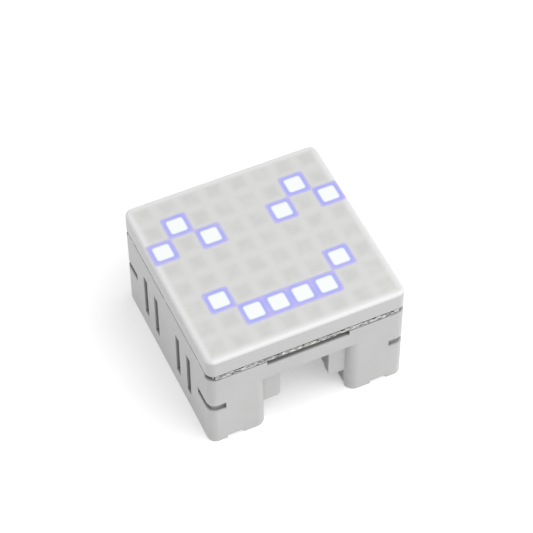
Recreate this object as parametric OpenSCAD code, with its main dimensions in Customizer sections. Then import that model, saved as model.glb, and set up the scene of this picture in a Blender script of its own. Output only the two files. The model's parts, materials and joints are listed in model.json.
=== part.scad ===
// Square light matrix unit: an 8 by 8 field of RGB LEDs under a milky diffuser cap, on a
// moulded housing that stands on four hollow corner legs. A cable socket hangs below the
// board at the front and another at the back, and their cables leave between the legs.
// Millimetres. The origin is the centre of the footprint on the resting plane, +Z is up,
// and the cable openings face -Y (input) and +Y (output).

/* [Unit] */
// Width and depth of the unit
unit_w = 48; // [46:0.5:56]
// Radius of the upright corners, seen from above
corner_r = 2; // [1.5:0.1:3]

/* [Diffuser cap] */
// Height of the cap, from its lower edge to its face
cap_h = 5.2; // [4:0.1:8]
// Thickness of the cap's sides
cap_wall = 1.3; // [0.8:0.1:1.4]
// Thickness of the cap's face
cap_face_t = 1.2; // [0.8:0.1:1.6]
// Radius of the rounded edge around the face
cap_edge_r = 0.8; // [0.3:0.1:1.2]
// Open seam between the board's upper face and the cap's lower edge
cap_seam = 0.4; // [0.2:0.1:1]

/* [Light grid] */
// Thickness of the walls between the light cells
rib_t = 1.6; // [1:0.1:2]
// Gap between the ends of the grid's walls and the cap's sides
grid_clearance = 0.1; // [0.05:0.05:0.3]
// Gap between the LEDs and the screw bosses where the grid's walls cross
grid_boss_gap = 0.1; // [0.05:0.05:0.3]
// Face left above the blind screw hole in each boss
grid_boss_floor = 0.8; // [0.4:0.1:1.2]

/* [LED board] */
// Thickness of the circuit board
board_t = 1; // [0.6:0.1:1.6]
// Radius of the board's corners
board_corner_r = 1; // [0.5:0.1:2]
// How far the board's front and back edges lie behind the housing's faces
board_setback = 0.1; // [0:0.05:0.5]
// Gap between the board's sides and the housing's side rims
board_clearance = 0.1; // [0.05:0.05:0.3]

/* [LEDs] */
// Width of one LED package
led_w = 3.5; // [3:0.1:3.7]
// Height of one LED package
led_h = 1.4; // [0.8:0.1:2]
// Diameter of the round reflector cup
led_cup_d = 2.8; // [1.5:0.1:3]
// Depth of the reflector cup
led_cup_depth = 0.4; // [0.2:0.1:0.6]
// Size of the chamfer that marks the package's first corner
led_key = 0.5; // [0.3:0.1:0.8]

/* [Small chips] */
// Length of the decoupling capacitors and of the resistors
chip_l = 1.6; // [1:0.1:2]
// Width of the decoupling capacitors and of the resistors
chip_w = 0.8; // [0.5:0.1:1.2]
// Height of the decoupling capacitors
chip_h = 0.8; // [0.4:0.1:1]
// Height of the resistors
resistor_h = 0.5; // [0.3:0.05:0.8]
// Length of the two storage capacitors
bulk_l = 6; // [4:0.1:7]
// Width of the storage capacitors
bulk_w = 3.2; // [2:0.1:4]
// Height of the storage capacitors
bulk_h = 2.6; // [1.5:0.1:2.8]
// Gap between the sockets and the storage capacitors
bulk_gap = 1.3; // [0.6:0.1:2]
// Length of the signal buffer's package
buffer_l = 2.9; // [2.5:0.1:3.5]
// Width of the signal buffer's package
buffer_w = 1.6; // [1.2:0.1:2]
// Height of the signal buffer's package
buffer_h = 1.1; // [0.7:0.1:1.5]
// Width of the buffer's leads
buffer_lead_w = 0.4; // [0.3:0.05:0.5]
// Distance between the buffer's leads
buffer_lead_pitch = 0.95; // [0.8:0.05:1]
// How far the buffer's leads reach out from its package
buffer_lead_reach = 0.6; // [0.4:0.1:1]
// Thickness of the buffer's leads
buffer_lead_t = 0.2; // [0.15:0.05:0.3]

/* [Cable sockets] */
// Number of contacts in each socket
contacts = 4; // [2:1:5]
// Distance between the contacts
contact_pitch = 2; // [1.5:0.1:2.5]
// Side of the square contact pins
pin_w = 0.5; // [0.4:0.05:0.64]
// Length of each pin inside the socket's mouth
pin_reach = 4.6; // [3:0.1:5.5]
// Thickness of the solder feet on the board
solder_foot_t = 0.3; // [0.2:0.05:0.5]
// Length of the solder feet beyond the socket's side
solder_foot_reach = 1; // [0.6:0.1:1.5]
// Socket material beyond the outer contacts on each side
socket_margin = 2; // [1.5:0.1:3]
// Depth of the socket from front to back
socket_d = 4.6; // [4:0.1:6]
// Height of the socket
socket_h = 8; // [7:0.1:10]
// Thickness of the socket's sides
socket_wall = 0.7; // [0.5:0.1:1]
// Thickness of the socket's base, which the pins pass through
socket_base_t = 1.6; // [1:0.1:2.5]
// Width of the two keyways in the socket's outer side
keyway_w = 1; // [0.6:0.1:1.4]
// Height of the keyways, from the mouth
keyway_h = 4; // [2:0.1:5]
// Distance from the housing's front or back face to the middle of the socket
socket_inset = 8.6; // [8:0.1:12]

/* [Housing] */
// Height of the open bay below the deck
bay_h = 17.3; // [14:0.1:30]
// Thickness of the deck below the board
deck_t = 2; // [1.5:0.1:3]
// Space between the deck and the board, for the parts below the board
component_gap = 3.9; // [3:0.1:3.9]
// Thickness of the outer walls
wall_t = 2; // [1.6:0.1:2.4]
// Thickness of the side rims that stand up beside the board
rim_t = 1.2; // [0.8:0.1:1.4]
// Distance from each corner to the end of the side rims
rim_setback = 2.3; // [2.1:0.1:5]
// Seam between the side rims and the cap
rim_seam = 0.3; // [0.1:0.05:0.6]
// Width of the nubs on the side rims that carry the cap
nub_w = 1.2; // [0.8:0.1:3]
// Distance of the outer nubs from the middle of the rim
nub_offset = 18.4; // [10:0.1:19]
// Seam between the front and back walls and the board
end_seam = 0.25; // [0.1:0.05:0.5]
// Gap between the deck's windows and the sockets
window_clearance = 0.3; // [0.1:0.05:0.6]

/* [Wall cut-outs] */
// Width of the notch below the board in the front and back walls
notch_w = 20; // [10:0.1:30]
// Depth of that notch, from the top of the wall
notch_h = 1.2; // [0.5:0.05:3]
// Width of the vent slots in the side walls
slot_w = 2.1; // [1:0.1:3]
// Height of the vent slots
slot_h = 13.0; // [6:0.1:15]
// Height of the lower end of the vent slots
slot_z = 5.1; // [2:0.1:8]
// Distance of the inner vent slots from the middle of the wall
slot_inner = 6.1; // [4:0.1:8]
// Distance between an inner and an outer vent slot
slot_step = 6.1; // [4:0.1:8]
// Height of the grip grooves at the corners
groove_h = 2.1; // [1:0.1:3]
// Depth of the grip grooves
groove_depth = 0.7; // [0.3:0.1:1]
// Height of the middle of the grip grooves
groove_z = 12.7; // [6:0.1:16]
// Length of a grip groove on the front and back walls
groove_end_l = 4; // [3:0.1:8]
// Length of a grip groove on the side walls
groove_side_l = 6.7; // [3:0.1:8]

/* [Legs] */
// Width of the openings between the legs
opening_w = 20.2; // [18:0.1:24]
// Radius of the legs' upright inner edges
leg_edge_r = 2.5; // [0.5:0.1:3]
// Thickness of the webs behind the legs' inner edges
web_t = 1.6; // [1:0.1:2.4]
// Length of those webs, from the housing's face
web_l = 10.5; // [6:0.1:14]
// Height of the webs' lower edges
web_z = 1; // [0.5:0.1:3]
// Width of the gap between the two guide tabs
tab_gap = 12.1; // [11:0.1:16]
// Thickness of the guide tabs
tab_t = 2.2; // [1:0.1:3]
// Thickness of the ribs behind the guide tabs
tab_rib_t = 1.5; // [0.6:0.1:2]
// Height of the guide tabs' lower edges
tab_z = 6.2; // [2:0.1:12]
// How much higher the ribs behind the guide tabs end
tab_rib_step = 0.8; // [0.2:0.1:3]
// Radius of the guide tabs' free lower corners
tab_corner_r = 1; // [0.3:0.1:2]
// Width of the lifting notch under each leg
foot_notch_w = 4.1; // [2:0.1:6]
// Height of the lifting notch
foot_notch_h = 1; // [0.3:0.1:2]
// Distance of the lifting notch's outer end from the side wall's face
foot_notch_inset = 4.1; // [3:0.1:5]

/* [Screws] */
// Thread diameter of the case screws
screw_d = 2; // [1.6:0.1:2.2]
// Length of the case screws below the head
screw_l = 7; // [6:0.1:7.5]
// Diameter of the screw heads
screw_head_d = 3.6; // [3:0.1:4]
// Height of the screw heads
screw_head_h = 1.3; // [0.8:0.1:1.8]
// Gap around the screws in the posts and in the board
screw_clearance = 0.15; // [0.05:0.05:0.3]
// Gap around the threads in the grid's bosses
thread_clearance = 0.02; // [0.01:0.01:0.05]
// Depth of the cross recess in the heads
recess_depth = 0.7; // [0.3:0.1:0.9]
// Length of each arm of the cross recess
recess_l = 2; // [1.2:0.1:2.6]
// Width of the cross recess's arms
recess_w = 0.5; // [0.3:0.1:0.8]
// Wall of the posts around the screw heads
post_wall = 1; // [0.8:0.1:1.5]

/* [Hidden] */
$fn = 48;
over = 1;                      // how far a cutter runs past the face that it opens
cells = 8;                     // light cells along each side

half_w = unit_w / 2;
deck_top = bay_h + deck_t;
board_z = deck_top + component_gap;
board_top = board_z + board_t;
cap_z = board_top + cap_seam;
unit_h = cap_z + cap_h;
cap_ceiling = unit_h - cap_face_t;
rim_top = cap_z - rim_seam;
end_wall_top = board_z - end_seam;

inner_half = half_w - wall_t;
rim_half = half_w - rim_t;
board_half_x = rim_half - board_clearance;
board_half_y = half_w - board_setback;
grid_half = half_w - cap_wall - grid_clearance;
pitch = (2 * grid_half + rib_t) / cells;

grid_boss_r = (pitch - led_w) / sqrt(2) - grid_boss_gap;

screw_place = (cells / 2 - 1) * pitch;
screw_tip = cap_ceiling - grid_boss_floor - screw_clearance;
screw_seat = screw_tip - screw_l;
screw_hole_r = screw_d / 2 + screw_clearance;
head_hole_r = screw_head_d / 2 + screw_clearance;
post_r = head_hole_r + post_wall;

socket_w = (contacts - 1) * contact_pitch + 2 * socket_margin;
socket_y = half_w - socket_inset;
bulk_x = (socket_w + bulk_l) / 2 + bulk_gap;
bulk_y = screw_place - pitch;
opening_half = opening_w / 2;
tab_half = tab_gap / 2;

// Places of the light cells and of the walls between them, along one side
cell_at = [for (i = [0 : cells - 1]) (i - (cells - 1) / 2) * pitch];
rib_at = [for (i = [1 : cells - 1]) (i - cells / 2) * pitch];
row_numbers = [1 : cells];

// ---- Helpers ----

// Rectangle with round corners, centred
module rounded_rectangle(w, d, r) {
    square([w - 2 * r, d], center = true);
    square([w, d - 2 * r], center = true);
    for (x = [-1, 1], y = [-1, 1])
        translate([x * (w / 2 - r), y * (d / 2 - r)]) circle(r);
}

// Block between two heights, from a centred rectangle
module block(w, d, z0, z1) {
    translate([-w / 2, -d / 2, z0]) cube([w, d, z1 - z0]);
}

// Block between two corners
module box(low, high) {
    translate(low) cube(high - low);
}

// A copy at the front and one at the back
module both_ends() {
    children();
    mirror([0, 1, 0]) children();
}

// A copy on the right and one on the left
module both_sides() {
    children();
    mirror([1, 0, 0]) children();
}

// A copy at each screw
module at_screws() {
    both_ends() both_sides() translate([screw_place, -screw_place, 0]) children();
}

// ---- Diffuser cap ----

// Rounded block whose upper edges are round too
module cap_body() {
    straight_h = cap_h - cap_edge_r;
    face_w = unit_w - 2 * cap_edge_r;
    face_r = corner_r - cap_edge_r;
    rod_l = unit_w - 2 * corner_r;
    linear_extrude(straight_h) rounded_rectangle(unit_w, unit_w, corner_r);
    linear_extrude(cap_h) rounded_rectangle(face_w, face_w, face_r);
    translate([0, 0, straight_h]) {
        for (turn = [0 : 90 : 270]) rotate(turn) {
            translate([0, face_w / 2, 0]) rotate([0, 90, 0])
                cylinder(h = rod_l, r = cap_edge_r, center = true);
            translate([rod_l / 2, rod_l / 2, 0]) rotate_extrude()
                translate([face_r, 0]) intersection() {
                    circle(cap_edge_r);
                    translate([0, -cap_edge_r]) square([cap_edge_r, 2 * cap_edge_r]);
                }
        }
    }
}

module diffuser_cap() {
    inner_w = unit_w - 2 * cap_wall;
    color("white") translate([0, 0, cap_z]) difference() {
        cap_body();
        translate([0, 0, -over]) linear_extrude(cap_h - cap_face_t + over)
            rounded_rectangle(inner_w, inner_w, corner_r - cap_wall);
    }
}

// ---- Light grid ----

// One-piece lattice that keeps the light of each cell apart, with four screw bosses
module light_grid() {
    grid_h = cap_ceiling - board_top;
    color("whitesmoke") difference() {
        union() {
            for (place = rib_at) {
                box([place - rib_t / 2, -grid_half, board_top],
                    [place + rib_t / 2, grid_half, cap_ceiling]);
                box([-grid_half, place - rib_t / 2, board_top],
                    [grid_half, place + rib_t / 2, cap_ceiling]);
            }
            at_screws() translate([0, 0, board_top]) cylinder(h = grid_h, r = grid_boss_r);
        }
        at_screws() translate([0, 0, board_top - over])
            cylinder(h = grid_h - grid_boss_floor + over, r = screw_d / 2 + thread_clearance);
    }
}

// ---- LED board and the parts on it ----

module led_board() {
    color("ghostwhite") translate([0, 0, board_z]) difference() {
        linear_extrude(board_t)
            rounded_rectangle(2 * board_half_x, 2 * board_half_y, board_corner_r);
        at_screws() translate([0, 0, -over]) cylinder(h = board_t + 2 * over, r = screw_hole_r);
    }
}

// Square package with a round reflector cup and one chamfered corner
module led() {
    corner = led_w / 2;
    difference() {
        linear_extrude(led_h) polygon([
            [-corner, -corner], [corner, -corner], [corner, corner - led_key],
            [corner - led_key, corner], [-corner, corner]
        ]);
        translate([0, 0, led_h - led_cup_depth]) cylinder(h = led_cup_depth + over, d = led_cup_d);
    }
}

// Row 1 is at the back
module leds_row(row) {
    color("white") for (place = cell_at)
        translate([place, -cell_at[row - 1], board_top]) led();
}

// Place of the decoupling capacitor for the LED at x, y: under the LED, or beyond the
// solder feet where a socket takes that place
function capacitor_y(x, y) =
    abs(x) < (socket_w + chip_l) / 2 && abs(abs(y) - socket_y) < (socket_d + chip_w) / 2
        ? sign(y) * (socket_y - socket_d / 2 - solder_foot_reach - chip_w)
        : y;

// Decoupling capacitors below the board, one for each LED of the row
module capacitors_row(row) {
    color("tan") for (place = cell_at)
        translate([place, capacitor_y(place, -cell_at[row - 1]), 0])
            block(chip_l, chip_w, board_z - chip_h, board_z);
}

// ---- Cable sockets ----

// The contacts: a square pin up to the board, then a flat solder foot
module socket_pins() {
    pin_tip = board_z - socket_base_t - pin_reach;
    foot_l = socket_d / 2 + solder_foot_reach;
    for (i = [0 : contacts - 1])
        translate([(i - (contacts - 1) / 2) * contact_pitch, -socket_y, 0]) {
            block(pin_w, pin_w, pin_tip, board_z);
            box([-pin_w / 2, 0, board_z - solder_foot_t], [pin_w / 2, foot_l, board_z]);
        }
}

// The moulded shell, open downwards, with two keyways on its outer side
module socket_housing() {
    mouth_z = board_z - socket_h;
    difference() {
        translate([0, -socket_y, 0]) difference() {
            block(socket_w, socket_d, mouth_z, board_z);
            block(socket_w - 2 * socket_wall, socket_d - 2 * socket_wall,
                  mouth_z - over, board_z - socket_base_t);
            both_sides() translate([(socket_w - keyway_w) / 4, -socket_d / 2, 0])
                block(keyway_w, 3 * socket_wall, mouth_z - over, mouth_z + keyway_h);
        }
        socket_pins();
    }
}

module socket_in_housing() {
    color("ivory") socket_housing();
}

module socket_in_pins() {
    color("silver") socket_pins();
}

module socket_out_housing() {
    color("ivory") rotate(180) socket_housing();
}

module socket_out_pins() {
    color("silver") rotate(180) socket_pins();
}

// ---- Supply and signal parts below the board ----

// Beside a socket, in the middle between two rows of small capacitors
module bulk_capacitor() {
    translate([bulk_x, -bulk_y, 0]) block(bulk_l, bulk_w, board_z - bulk_h, board_z);
}

module bulk_capacitor_in() {
    color("goldenrod") bulk_capacitor();
}

module bulk_capacitor_out() {
    color("goldenrod") rotate(180) bulk_capacitor();
}

// Three leads on one long side and two on the other
module signal_buffer() {
    lead_y = buffer_w / 2 + buffer_lead_reach;
    color("dimgray") translate([-pitch, -pitch, 0]) {
        block(buffer_l, buffer_w, board_z - buffer_h, board_z - buffer_lead_t);
        for (place = [-1, 0, 1])
            translate([place * buffer_lead_pitch, 0, 0])
                box([-buffer_lead_w / 2, -lead_y, board_z - buffer_lead_t],
                    [buffer_lead_w / 2, place == 0 ? 0 : lead_y, board_z]);
    }
}

// One resistor in the signal line at each side of the buffer
module signal_resistors() {
    color("dimgray") for (side = [-1, 1]) translate([(side - 1) * pitch, -pitch, 0])
        block(chip_l, chip_w, board_z - resistor_h, board_z);
}

// ---- Housing ----

// Opening between two legs, through the front wall
module leg_opening() {
    box([-opening_half, -half_w - over, -over], [opening_half, -inner_half + over, bay_h]);
}

// What the round inner edges of two legs leave of their square corners
module leg_edges() {
    translate([0, 0, -over]) linear_extrude(bay_h + over) both_sides() difference() {
        translate([opening_half - over, -half_w - over])
            square([leg_edge_r + over, wall_t + over]);
        translate([opening_half + leg_edge_r, -half_w + leg_edge_r]) circle(leg_edge_r);
    }
}

// Upright plate of a guide tab, with a round lower corner at its free side
module tab_plate(thickness, z) {
    tab_top = bay_h + deck_t / 2;
    tab_outer = opening_half + web_t / 2;
    translate([0, thickness - inner_half, 0]) rotate([90, 0, 0]) linear_extrude(thickness) {
        translate([tab_half + tab_corner_r, z])
            square([tab_outer - tab_half - tab_corner_r, tab_top - z]);
        translate([tab_half, z + tab_corner_r])
            square([tab_outer - tab_half, tab_top - z - tab_corner_r]);
        translate([tab_half + tab_corner_r, z + tab_corner_r]) circle(tab_corner_r);
    }
}

// Web behind a leg's inner edge, and the guide tab that stands out from it
module leg_web_and_tab() {
    box([opening_half, -inner_half - over, web_z],
        [opening_half + web_t, web_l - half_w, bay_h + deck_t / 2]);
    tab_plate(tab_t, tab_z);
    tab_plate(tab_t + tab_rib_t, tab_z + tab_rib_step);
}

// Groove around one corner, on both of its walls
module corner_groove() {
    translate([0, 0, groove_z - groove_h / 2]) linear_extrude(groove_h) difference() {
        translate([half_w - groove_end_l, -half_w - over])
            square([groove_end_l + over, groove_side_l + over]);
        rounded_rectangle(unit_w - 2 * groove_depth, unit_w - 2 * groove_depth,
                          corner_r - groove_depth);
    }
}

// Two vent slots right of the middle and two left of it, in the left wall
module side_slots() {
    both_ends() for (place = [slot_inner, slot_inner + slot_step])
        box([-half_w - over, place - slot_w / 2, slot_z],
            [-inner_half, place + slot_w / 2, slot_z + slot_h]);
}

// Room for the board, the parts below it and the cap's lower edge
module board_room() {
    block(2 * inner_half, 2 * inner_half, deck_top, board_z + over);
    block(2 * rim_half, unit_w + 2 * over, board_z, rim_top + over);
    both_ends() {
        box([-half_w - over, -half_w - over, end_wall_top],
            [half_w + over, -half_w + rim_setback, rim_top + over]);
        box([-notch_w / 2, -half_w - over, end_wall_top - notch_h],
            [notch_w / 2, -inner_half + over, board_z]);
    }
}

module socket_window() {
    translate([0, -socket_y, 0])
        block(socket_w + 2 * window_clearance, socket_d + 2 * window_clearance,
              bay_h - over, deck_top + over);
}

module base_housing() {
    color("gainsboro") difference() {
        union() {
            difference() {
                linear_extrude(rim_top) rounded_rectangle(unit_w, unit_w, corner_r);
                block(2 * inner_half, 2 * inner_half, -over, bay_h);
                board_room();
                both_ends() leg_opening();
                both_sides() side_slots();
                both_ends() both_sides() {
                    corner_groove();
                    box([half_w - foot_notch_inset - foot_notch_w, -half_w - over, -over],
                        [half_w - foot_notch_inset, -inner_half + over, foot_notch_h]);
                }
            }
            both_ends() both_sides() leg_web_and_tab();
            at_screws() translate([0, 0, bay_h]) cylinder(h = board_z - bay_h, r = post_r);
            both_sides() for (place = [-nub_offset, 0, nub_offset])
                box([rim_half, place - nub_w / 2, rim_top - rim_seam],
                    [half_w, place + nub_w / 2, cap_z]);
        }
        both_ends() {
            leg_edges();
            socket_window();
        }
        at_screws() translate([0, 0, bay_h - over]) {
            cylinder(h = screw_seat - bay_h + over, r = head_hole_r);
            cylinder(h = board_z - bay_h + 2 * over, r = screw_hole_r);
        }
    }
}

// ---- Screws ----

// Self-tapping screw, driven upwards from below, with a cross recess in its flat head
module case_screw() {
    difference() {
        union() {
            translate([0, 0, screw_seat]) cylinder(h = screw_l, d = screw_d);
            translate([0, 0, screw_seat - screw_head_h])
                cylinder(h = screw_head_h, d = screw_head_d);
        }
        for (turn = [0, 90]) rotate(turn)
            block(recess_l, recess_w, screw_seat - screw_head_h - over,
                  screw_seat - screw_head_h + recess_depth);
    }
}

module case_screws() {
    color("darkgray") at_screws() case_screw();
}

// ---- Nodes ----

base_housing();
case_screws();
led_board();
for (row = row_numbers) {
    leds_row(row);
    capacitors_row(row);
}
socket_in_housing();
socket_in_pins();
socket_out_housing();
socket_out_pins();
bulk_capacitor_in();
bulk_capacitor_out();
signal_buffer();
signal_resistors();
light_grid();
diffuser_cap();
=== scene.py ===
"""Looks of a square light matrix unit: diffuser cap, LED board and moulded housing.

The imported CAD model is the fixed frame. Each sub-assembly below builds or dresses its own
pieces around it, in metres, with +Z up and the cable openings towards -Y and +Y.
"""

import json
import logging
import math
from dataclasses import dataclass
from enum import Enum
from typing import Callable, Sequence, Union

import bmesh
import bpy
from bmesh.types import BMesh, BMVert
from bpy.types import Material, Mesh, Node, NodeSocket, Object
from mathutils import Matrix, Vector

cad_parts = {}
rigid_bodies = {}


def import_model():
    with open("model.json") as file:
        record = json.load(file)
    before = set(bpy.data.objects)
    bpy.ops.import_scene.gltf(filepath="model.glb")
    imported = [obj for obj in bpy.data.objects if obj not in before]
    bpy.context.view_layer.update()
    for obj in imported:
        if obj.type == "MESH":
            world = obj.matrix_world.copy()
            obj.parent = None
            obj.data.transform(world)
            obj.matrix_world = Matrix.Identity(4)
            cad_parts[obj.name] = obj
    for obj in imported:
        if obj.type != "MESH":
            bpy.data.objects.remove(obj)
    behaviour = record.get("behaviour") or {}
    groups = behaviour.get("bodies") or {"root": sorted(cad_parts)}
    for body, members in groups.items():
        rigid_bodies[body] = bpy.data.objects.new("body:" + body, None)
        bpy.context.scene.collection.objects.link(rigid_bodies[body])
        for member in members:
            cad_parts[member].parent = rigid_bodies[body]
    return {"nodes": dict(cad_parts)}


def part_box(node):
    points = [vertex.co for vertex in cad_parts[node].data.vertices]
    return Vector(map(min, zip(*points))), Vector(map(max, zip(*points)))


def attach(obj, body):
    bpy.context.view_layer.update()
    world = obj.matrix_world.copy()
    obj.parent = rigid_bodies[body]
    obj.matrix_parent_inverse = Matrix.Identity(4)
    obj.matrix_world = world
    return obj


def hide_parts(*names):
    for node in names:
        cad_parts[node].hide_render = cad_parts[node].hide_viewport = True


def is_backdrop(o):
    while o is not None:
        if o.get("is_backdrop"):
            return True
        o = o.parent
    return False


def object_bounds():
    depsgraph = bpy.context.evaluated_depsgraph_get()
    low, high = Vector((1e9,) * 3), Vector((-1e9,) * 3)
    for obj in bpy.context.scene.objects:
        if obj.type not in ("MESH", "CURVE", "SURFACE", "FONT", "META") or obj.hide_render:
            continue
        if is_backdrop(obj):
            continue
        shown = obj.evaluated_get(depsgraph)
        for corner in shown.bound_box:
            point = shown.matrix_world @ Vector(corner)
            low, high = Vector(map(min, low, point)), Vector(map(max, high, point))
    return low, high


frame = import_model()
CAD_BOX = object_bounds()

log = logging.getLogger("light_matrix")

MM = 0.001
ROOT = "root"
Colour = tuple[float, float, float]
Point = tuple[float, float, float]
Pair = tuple[float, float]
Ring = list[BMVert]

WHITE: Colour = (1.0, 1.0, 1.0)
# Sockets of the Mix node in its colour form.
MIX_FACTOR, MIX_FIRST, MIX_SECOND, MIX_RESULT = 0, 6, 7, 2
# Points of a mesh that lie closer than this are one.
SAME_POINT = 1e-7
SAME_CAD_POINT = 2e-6
# Neighbouring faces of a CAD node that turn less than this, in degrees, are one face.
FLAT_ANGLE = 0.8
# Edges of small turned and moulded parts that turn more than this, in degrees, stay crisp.
ROUND_ANGLE = 30.0


# ---- Sizes that several pieces share ----


@dataclass(frozen=True)
class UnitSizes:
    """Sizes of the whole unit, taken from the frame's nodes where they can be."""

    cells: int = 8
    corner_r: float = 2.0 * MM
    cap_wall: float = 1.3 * MM
    cap_edge_r: float = 0.8 * MM
    face_t: float = 1.2 * MM
    rib_t: float = 1.6 * MM
    led_w: float = 3.5 * MM
    led_cup_d: float = 2.8 * MM

    @property
    def half_w(self) -> float:
        """Half of the unit's width."""
        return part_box("diffuser_cap")[1].x

    @property
    def top(self) -> float:
        """Height of the cap's face."""
        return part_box("diffuser_cap")[1].z

    @property
    def cap_bottom(self) -> float:
        """Height of the cap's lower edge."""
        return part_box("diffuser_cap")[0].z

    @property
    def board_bottom(self) -> float:
        """Height of the board's lower face."""
        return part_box("led_board")[0].z

    @property
    def board_top(self) -> float:
        """Height of the board's upper face."""
        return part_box("led_board")[1].z

    @property
    def pitch(self) -> float:
        """Distance between two light cells."""
        return (2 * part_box("light_grid")[1].x + self.rib_t) / self.cells


# ---- Shader maths ----

Number = Union["Value", float, int]


class Value:
    """A number socket, with Python's operators for the Math nodes behind it."""

    def __init__(self, shader: "Shader", socket: NodeSocket) -> None:
        """Wraps a socket.

        Args:
            shader: The material that the socket belongs to.
            socket: The output socket that holds the number.
        """
        self.shader = shader
        self.socket = socket

    def _math(self, operation: str, *numbers: Number) -> "Value":
        """Adds a Math node.

        Args:
            operation: The node's operation.
            numbers: Its inputs, in order.

        Returns:
            The node's result.
        """
        inputs = dict(enumerate(numbers))
        made = self.shader.node("ShaderNodeMath", {"operation": operation}, inputs)
        return Value(self.shader, made.outputs[0])

    def __add__(self, other: Number) -> "Value":
        """Sum."""
        return self._math("ADD", self, other)

    __radd__ = __add__

    def __sub__(self, other: Number) -> "Value":
        """Difference."""
        return self._math("SUBTRACT", self, other)

    def __rsub__(self, other: Number) -> "Value":
        """Difference, with this number taken away."""
        return self._math("SUBTRACT", other, self)

    def __mul__(self, other: Number) -> "Value":
        """Product."""
        return self._math("MULTIPLY", self, other)

    __rmul__ = __mul__

    def __truediv__(self, other: Number) -> "Value":
        """Quotient."""
        return self._math("DIVIDE", self, other)

    def __abs__(self) -> "Value":
        """Size without sign."""
        return self._math("ABSOLUTE", self)

    def most(self, other: Number) -> "Value":
        """The larger of two numbers."""
        return self._math("MAXIMUM", self, other)

    def melt(self, other: Number, reach: float) -> "Value":
        """The smaller of two numbers, with a soft passage between them."""
        return self._math("SMOOTH_MIN", self, other, reach)

    def root(self) -> "Value":
        """Square root."""
        return self._math("SQRT", self)

    def part(self) -> "Value":
        """What is left above the next whole number below."""
        return self._math("FRACT", self)

    def rise(self, low: float, high: float) -> "Value":
        """Runs softly from 0 to 1.

        Args:
            low: Where the result is 0.
            high: Where the result is 1.

        Returns:
            The soft step. With low above high, it falls instead.
        """
        settings = {"interpolation_type": "SMOOTHSTEP", "clamp": True}
        inputs = {"Value": self, "From Min": min(low, high), "From Max": max(low, high)}
        if low > high:
            inputs |= {"To Min": 1.0, "To Max": 0.0}
        made = self.shader.node("ShaderNodeMapRange", settings, inputs)
        return Value(self.shader, made.outputs["Result"])


Input = Union[Value, NodeSocket, float, int, Sequence[float]]


class Shader:
    """One material: a Principled shader and the nodes that feed it."""

    def __init__(self, name: str) -> None:
        """Starts the material.

        Args:
            name: The material's name.
        """
        self.material = bpy.data.materials.new(name)
        self.material.use_nodes = True
        self.tree = self.material.node_tree
        self.tree.nodes.clear()
        self.surface = self.node("ShaderNodeBsdfPrincipled")
        out = self.node("ShaderNodeOutputMaterial")
        self.tree.links.new(self.surface.outputs["BSDF"], out.inputs["Surface"])
        self._coordinates: NodeSocket | None = None
        self._places: dict[str, Value] = {}

    def node(
        self,
        kind: str,
        settings: dict[str, object] | None = None,
        inputs: dict[str | int, Input] | None = None,
    ) -> Node:
        """Makes any node.

        Args:
            kind: The node's type.
            settings: Its own settings, set first.
            inputs: Value or link for each input socket, by name or number.

        Returns:
            The node.
        """
        made = self.tree.nodes.new(kind)
        for name, value in (settings or {}).items():
            setattr(made, name, value)
        for name, value in (inputs or {}).items():
            self.feed(made.inputs[name], value)
        return made

    def feed(self, socket: NodeSocket, value: Input) -> None:
        """Sets an input socket, or links it.

        Args:
            socket: The input.
            value: A plain value, a number of this material or an output socket.
        """
        if isinstance(value, Value):
            value = value.socket
        if isinstance(value, NodeSocket):
            self.tree.links.new(value, socket)
        elif socket.type == "RGBA" and len(value) == 3:
            socket.default_value = (*value, 1.0)
        else:
            socket.default_value = value

    def set(self, **inputs: Input) -> None:
        """Sets the shader's own inputs, named with underscores for spaces."""
        for name, value in inputs.items():
            self.feed(self.surface.inputs[name.replace("_", " ")], value)

    def coordinates(self) -> NodeSocket:
        """Object coordinates, in metres in the unit's frame."""
        if self._coordinates is None:
            self._coordinates = self.node("ShaderNodeTexCoord").outputs["Object"]
        return self._coordinates

    def place(self, axis: str) -> Value:
        """One object coordinate.

        Args:
            axis: "X", "Y" or "Z".

        Returns:
            The coordinate, in metres.
        """
        if not self._places:
            split = self.node("ShaderNodeSeparateXYZ", inputs={0: self.coordinates()})
            self._places = {name: Value(self, split.outputs[name]) for name in "XYZ"}
        return self._places[axis]

    def noise(self, size: float, detail: float = 2.0, stretch: Point = (1, 1, 1)) -> Value:
        """Soft noise from 0 to 1.

        Args:
            size: Size of its spots, in metres.
            detail: How much finer structure it holds.
            stretch: How much longer the spots are along each axis.

        Returns:
            The noise.
        """
        scale = tuple(1 / (size * s) for s in stretch)
        mapped = self.node(
            "ShaderNodeMapping", inputs={"Vector": self.coordinates(), "Scale": scale}
        )
        made = self.node(
            "ShaderNodeTexNoise",
            inputs={"Vector": mapped.outputs[0], "Scale": 1.0, "Detail": detail},
        )
        return Value(self, made.outputs[0])

    def mix(self, factor: Number, first: Input, second: Input) -> NodeSocket:
        """Blends two colours.

        Args:
            factor: 0 for the first, 1 for the second.
            first: A colour or an output socket.
            second: A colour or an output socket.

        Returns:
            The blended colour.
        """
        inputs = {MIX_FACTOR: factor, MIX_FIRST: first, MIX_SECOND: second}
        return self.node("ShaderNodeMix", {"data_type": "RGBA"}, inputs).outputs[MIX_RESULT]

    def bump(self, height: Value, depth: float, strength: float = 1.0) -> None:
        """Gives the surface a fine relief.

        Args:
            height: The relief, from 0 to 1.
            depth: What 1 stands for, in metres.
            strength: How much of it shows.
        """
        inputs = {"Height": height, "Distance": depth, "Strength": strength}
        self.set(Normal=self.node("ShaderNodeBump", inputs=inputs).outputs[0])


# ---- Finishes ----


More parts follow.
